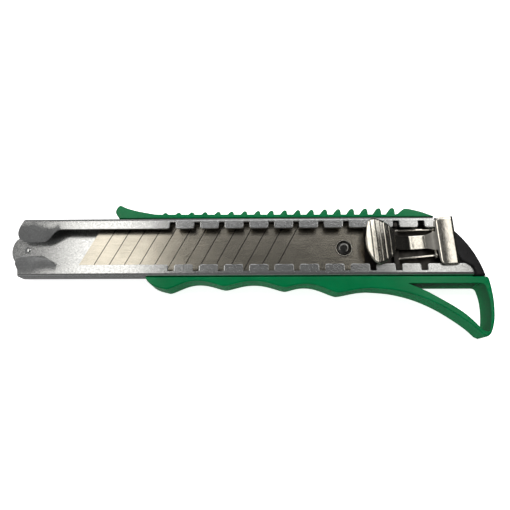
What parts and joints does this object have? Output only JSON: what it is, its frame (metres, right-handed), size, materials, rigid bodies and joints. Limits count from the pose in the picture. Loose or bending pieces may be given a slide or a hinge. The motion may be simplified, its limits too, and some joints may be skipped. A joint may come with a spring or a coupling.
{
  "type": "utility knife",
  "caption": "Snap-off utility knife: folded metal blade channel with notched lips, thumb-locked slider, ridged and finger-grooved handle with a triangular tail loop, and a pull-off end cap.",
  "frame": {"origin": "on the flat back of the handle, under the centre line of the blade channel, near the middle of the knife's length", "axes": "+X from the nose towards the tail, +Y away from the blade's cutting edge, +Z out of the open side of the channel"},
  "size_m": [0.1662, 0.0461, 0.0125],
  "materials": {
    "zinc_sheet": "galvanised steel sheet, fine satin grain",
    "green_plastic": "moulded plastic, soft gloss",
    "black_plastic": "moulded plastic, fine grain",
    "blade_steel": "ground carbon steel, lightly oiled",
    "chromed_pressing": "bright nickel-chrome plating",
    "spring_steel": "tempered spring steel",
    "rivet_steel": "bright steel, tumbled"
  },
  "bodies": {
    "frame": {"blade_channel": "zinc_sheet", "handle_body": "green_plastic", "channel_rivet_front": "rivet_steel", "channel_rivet_rear": "rivet_steel"},
    "slider": {"blade": "blade_steel", "blade_carrier": "chromed_pressing", "blade_stud": "chromed_pressing", "lever_pin": "chromed_pressing", "lock_spring": "spring_steel", "spring_rivet": "rivet_steel"},
    "lever": {"lock_lever": "chromed_pressing"},
    "cap": {"end_cap": "black_plastic"}
  },
  "joints": [
    {"name": "slider_slide", "type": "slide", "parent": "frame", "child": "slider", "axis": [-1, 0, 0], "range_m": [0, 0.07713]},
    {"name": "lever_press", "type": "hinge", "parent": "slider", "child": "lever", "pos_m": [0.06254, 0.00196, 0.0072], "axis": [0.0628, -0.998, 0], "range_deg": [-4.2, 1.2], "stiffness_Nm_per_rad": 0.05, "springref_deg": -57.3},
    {"name": "cap_pull", "type": "slide", "parent": "frame", "child": "cap", "axis": [1, 0, 0], "range_m": [0, 0.02]}
  ]
}
